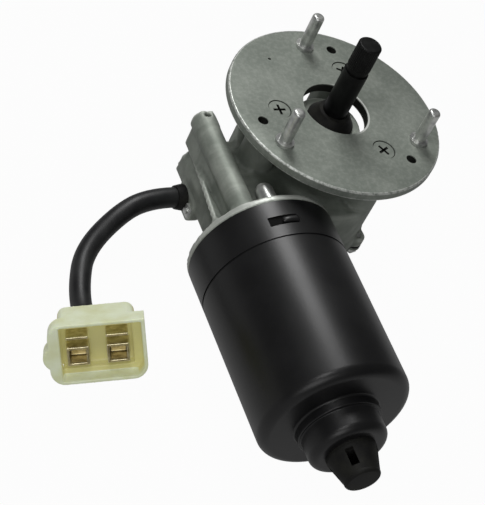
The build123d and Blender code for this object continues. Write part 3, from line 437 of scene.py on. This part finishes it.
def newPiece(name, build, slotName, body):
    mesh = bpy.data.meshes.new(name)
    build.to_mesh(mesh)
    build.free()
    piece = bpy.data.objects.new(name, mesh)
    bpy.context.scene.collection.objects.link(piece)
    paint(piece, slotName)
    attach(piece, body)
    return piece


ribValues = {
    "start": 0.012, "end": -0.0415,  # along the motor
    "halfWidth": 0.0012,
    # (x, z) from the motor's axis, first at the start and then at the end
    "outer": ((-0.0198, 0.0080), (-0.0306, 0.0188)),
    "inner": ((-0.0150, 0.0050), (-0.0150, 0.0090)),
}


def addRib(build):
    # the long rib that climbs from the block's wall to the flange
    v = ribValues
    corners = []
    for y, outer, inner in zip((v["start"], v["end"]), v["outer"], v["inner"]):
        out, back = Vector((outer[0], 0, outer[1])), Vector((inner[0], 0, inner[1]))
        side = (out - back).normalized().cross(Vector((0, 1, 0))) * v["halfWidth"]
        foot = motorAxis + Vector((0, y, 0))
        corners += [build.verts.new(foot + spot)
                    for spot in (out + side, out - side, back + side, back - side)]
    bmesh.ops.convex_hull(build, input=corners)


barValues = {
    "tube": (-0.0562, -0.0239),  # x and z of the bolt tube's middle
    "end": 0.0165, "length": 0.0012,  # along the motor, from the tube's open end inwards
    "halfWidth": 0.0030, "low": 0.0012, "high": 0.0060,  # heights above the tube's middle
}


def addBar(build):
    # closes the open end of the notch in the bolt tube
    v = barValues
    x, z = v["tube"]
    corners = [build.verts.new((x + side * v["halfWidth"], v["end"] - inwards * v["length"], z + height))
               for side in (-1, 1) for inwards in (0, 1) for height in (v["low"], v["high"])]
    bmesh.ops.convex_hull(build, input=corners)


# voxel is the size of the new mesh's faces, and rounds says how often it is smoothed
softValues = {
    "gear_case": {"name": "castHousing", "voxel": 0.00095, "rounds": 3, "added": (addRib, addBar)},
    "connector_housing": {"name": "connectorShell", "voxel": 0.00045, "rounds": 3, "added": ()},
    "connector_terminals": {"name": "brassTerminals", "voxel": 0.00028, "rounds": 4, "added": ()},
}


def soften(nodeName):
    # the node's own shape with the rounded edges of a casting or moulding
    v = softValues[nodeName]
    build = bmesh.new()
    build.from_mesh(nodes[nodeName].data)
    bmesh.ops.remove_doubles(build, verts=build.verts, dist=nodeValues["mergeDistance"])
    for add in v["added"]:
        add(build)
    piece = newPiece(v["name"], build, slotOf[nodeName], "motor")
    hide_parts(nodeName)
    remesh = piece.modifiers.new("remesh", "REMESH")
    remesh.mode = "VOXEL"
    remesh.voxel_size = v["voxel"]
    remesh.use_smooth_shade = True
    piece.modifiers.new("smooth", "SMOOTH").iterations = v["rounds"]
    return piece


soften("gear_case")
connectorShell = soften("connector_housing")
brassTerminals = soften("connector_terminals")
print("housing and connector softened")

tongueValues = {
    "radius": 0.0352, "proud": 0.0009, "thickness": 0.0006,  # from the motor's axis, outwards
    "middle": -0.0560, "halfWidth": 0.0015,  # along the motor
    "root": 88.5, "tip": 101.5,  # degrees round the motor's axis
    "steps": 13, "rows": 6,
    "rootHeight": 0.3, "rise": 6,  # the tongue starts at this share of its height and rises this fast
    "tipPower": 6, "sidePower": 4,  # a larger power keeps the tongue level nearer to its edge
    "taper": 0.25, "taperPower": 3,
}


def makeTongue():
    # the pressed tongue that reaches into the can's slot from one side
    v = tongueValues
    build = bmesh.new()
    bmesh.ops.create_grid(build, x_segments=v["steps"], y_segments=v["rows"], size=1)
    for vert in build.verts:
        reach, across = (vert.co.x + 1) / 2, vert.co.y  # 0 to 1 from root to tip, and -1 to 1 across
        angle = math.radians(v["root"] + (v["tip"] - v["root"]) * reach)
        crown = (1 - across ** v["sidePower"]) * (1 - reach ** v["tipPower"])
        radius = v["radius"] + v["proud"] * crown * min(1, v["rootHeight"] + v["rise"] * reach)
        width = v["halfWidth"] * (1 - v["taper"] * reach ** v["taperPower"])
        vert.co = motorAxis + Vector((radius * math.cos(angle), v["middle"] + width * across,
                                      radius * math.sin(angle)))
    for face in build.faces:
        face.smooth = True
    piece = newPiece("canTongue", build, "can_paint", "motor")
    thick = piece.modifiers.new("thick", "SOLIDIFY")
    thick.thickness = v["thickness"]
    thick.offset = -1  # the grid's faces look at the motor's axis, so the sheet grows outwards
    finer = piece.modifiers.new("finer", "SUBSURF")
    finer.levels = finer.render_levels = 1


makeTongue()
print("tongue made")

splineValues = {
    "foot": 0.0275, "top": 0.0416, "teeth": 36, "outer": 0.00572, "inner": 0.00553, "chamfer": 0.0006,
    "sink": 0.0005,  # the end is hollow by this much round the shaft's own end
}


def makeSpline():
    # the splined sleeve near the shaft's end
    v = splineValues
    build = bmesh.new()
    bmesh.ops.create_circle(build, cap_ends=True, segments=4 * v["teeth"], radius=v["outer"])
    for i, vert in enumerate(build.verts):
        # two points on a tooth, then two between the teeth
        radius = (v["outer"] if i % 4 < 2 else v["inner"]) - v["chamfer"]
        vert.co = vert.co.normalized() * radius + Vector((0, 0, v["foot"]))
    end = build.faces[:][0]
    straight = v["top"] - v["foot"] - 2 * v["chamfer"]
    for lift, grow in ((v["chamfer"], v["chamfer"]), (straight, 0), (v["chamfer"], -v["chamfer"]),
                       (-v["sink"], 0)):
        end = bmesh.ops.extrude_discrete_faces(build, faces=[end])["faces"][0]
        for vert in end.verts:
            away = Vector((vert.co.x, vert.co.y, 0)).normalized()
            vert.co += away * grow + Vector((0, 0, lift))
    bmesh.ops.holes_fill(build, edges=build.edges, sides=0)  # the foot
    build.normal_update()
    bmesh.ops.recalc_face_normals(build, faces=build.faces)
    newPiece("shaftSpline", build, "black_steel", "output")


makeSpline()
print("spline made")

cableValues = {
    "radius": 0.005,
    "length": 0.1131,
    "route": ((-0.0636, 0.0004, -0.0612), (-0.0740, 0.0004, -0.0612), (-0.0907, -0.0042, -0.0634),
              (-0.1122, -0.0185, -0.0744), (-0.1208, -0.0398, -0.0765), (-0.12488, -0.06023, -0.07434),
              (-0.13037, -0.07200, -0.06789)),
    "order": 3, "alongSteps": 24, "roundSteps": 8,
}


def makeCable():
    # the sleeved cable, from the grommet to the back of the connector
    v = cableValues
    curve = bpy.data.curves.new("cableRun", "CURVE")
    curve.dimensions = "3D"
    line = curve.splines.new("NURBS")
    line.points.add(len(v["route"]) - 1)
    for point, spot in zip(line.points, v["route"]):
        point.co = (*spot, 1)
    line.order_u = v["order"]
    line.use_endpoint_u = True
    line.resolution_u = v["alongSteps"]
    curve.bevel_depth = v["radius"]
    curve.bevel_resolution = v["roundSteps"]
    curve.use_fill_caps = True
    piece = bpy.data.objects.new("cableRun", curve)
    bpy.context.scene.collection.objects.link(piece)
    piece.data.materials.append(finishes["cable_sleeve"])
    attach(piece, "motor")
    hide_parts("cable")


makeCable()
print("cable laid")

floorValues = {
    "size": 3.0, "colour": (0.25, 0.25, 0.25),
    "seenGlow": 0.97, "glossGlow": 0.3,  # how white the camera and the reflections see the floor
}


def makeFloor():
    # the floor the motor lies on, at the lowest point of the CAD box
    v = floorValues
    build = bmesh.new()
    bmesh.ops.create_grid(build, x_segments=1, y_segments=1, size=v["size"])
    bmesh.ops.translate(build, verts=build.verts, vec=(0, 0, cadBox[0][2]))
    mesh = bpy.data.meshes.new("floor")
    build.to_mesh(mesh)
    build.free()
    floor = bpy.data.objects.new("floor", mesh)
    bpy.context.scene.collection.objects.link(floor)
    material, wire = newFinish("paleFloor")
    seen = wire.node("ShaderNodeLightPath", out="Is Camera Ray")
    gloss = wire.node("ShaderNodeLightPath", out="Is Glossy Ray")
    lit = wire.node("ShaderNodeBsdfDiffuse", {}, {"Color": (*v["colour"], 1)})
    glow = wire.node("ShaderNodeEmission", {}, {"Color": (1, 1, 1, 1), "Strength": 1.0})
    both = wire.node("ShaderNodeMixShader", {},
                     {0: seen * v["seenGlow"] + gloss * v["glossGlow"], 1: lit, 2: glow})
    wire.node("ShaderNodeOutputMaterial", {}, {"Surface": both})
    mesh.materials.append(material)


worldValues = {"lightStrength": 0.11, "seenStrength": 1.0}


def makeWorld():
    world = bpy.data.worlds.new("studio")
    bpy.context.scene.world = world
    world.use_nodes = True
    world.node_tree.nodes.clear()
    wire = Wire(world.node_tree)
    sky, seen = (wire.node("ShaderNodeBackground", {}, {"Color": (1, 1, 1, 1), "Strength": worldValues[key]})
                 for key in ("lightStrength", "seenStrength"))
    rays = wire.node("ShaderNodeLightPath", out="Is Camera Ray")
    both = wire.node("ShaderNodeMixShader", {}, {0: rays, 1: sky, 2: seen})
    wire.node("ShaderNodeOutputWorld", {}, {"Surface": both})


lampValues = {
    "keyLamp": {"power": 6.4, "size": (0.34, 0.42),
                "spot": (-0.03, 0.60, 0.90), "target": (-0.04, -0.08, -0.04)},
    "fillLamp": {"power": 3.3, "size": (0.7, 0.6),
                 "spot": (-0.62, -0.85, 0.62), "target": (-0.03, -0.04, -0.04)},
    "sideLamp": {"power": 2.4, "size": (0.3, 0.3),
                 "spot": (-0.52, -0.10, 0.95), "target": (-0.05, -0.02, -0.03)},
}


def makeLamp(name):
    v = lampValues[name]
    lamp = bpy.data.lights.new(name, "AREA")
    lamp.shape, lamp.size, lamp.size_y = "RECTANGLE", *v["size"]
    lamp.energy = v["power"]
    holder = bpy.data.objects.new(name, lamp)
    bpy.context.scene.collection.objects.link(holder)
    holder.location = v["spot"]
    look = Vector(v["target"]) - Vector(v["spot"])
    holder.rotation_euler = look.to_track_quat("-Z", "Y").to_euler()


cameraValues = {
    "azimuth": -40.91, "elevation": 43.37, "roll": 28.12,
    "distance": 0.757394, "across": -0.0442116, "rise": -0.0679985,  # from the origin, as the camera sees it
    "focalPixels": 1600.0, "tallPixels": 505, "sensor": 36.0,
    "nearest": 0.01, "farthest": 20,
}


def makeCamera():
    v = cameraValues
    azimuth, elevation, roll = (math.radians(v[key]) for key in ("azimuth", "elevation", "roll"))
    back = Vector((math.sin(azimuth) * math.cos(elevation), -math.cos(azimuth) * math.cos(elevation),
                   math.sin(elevation)))
    level = Vector((math.cos(azimuth), math.sin(azimuth), 0))
    above = back.cross(level)
    right = level * math.cos(roll) + above * math.sin(roll)
    up = above * math.cos(roll) - level * math.sin(roll)
    spot = back * v["distance"] + right * v["across"] + up * v["rise"]
    lens = bpy.data.cameras.new("camera")
    lens.sensor_width = v["sensor"]
    lens.lens = v["sensor"] * v["focalPixels"] / v["tallPixels"]
    lens.clip_start, lens.clip_end = v["nearest"], v["farthest"]
    camera = bpy.data.objects.new("camera", lens)
    bpy.context.scene.collection.objects.link(camera)
    camera.matrix_world = Matrix.Translation(spot) @ Matrix((right, up, back)).transposed().to_4x4()
    bpy.context.scene.camera = camera


makeFloor()
makeWorld()
for name in lampValues:
    makeLamp(name)
makeCamera()
bpy.context.scene.view_settings.view_transform = "Standard"
print("studio ready")
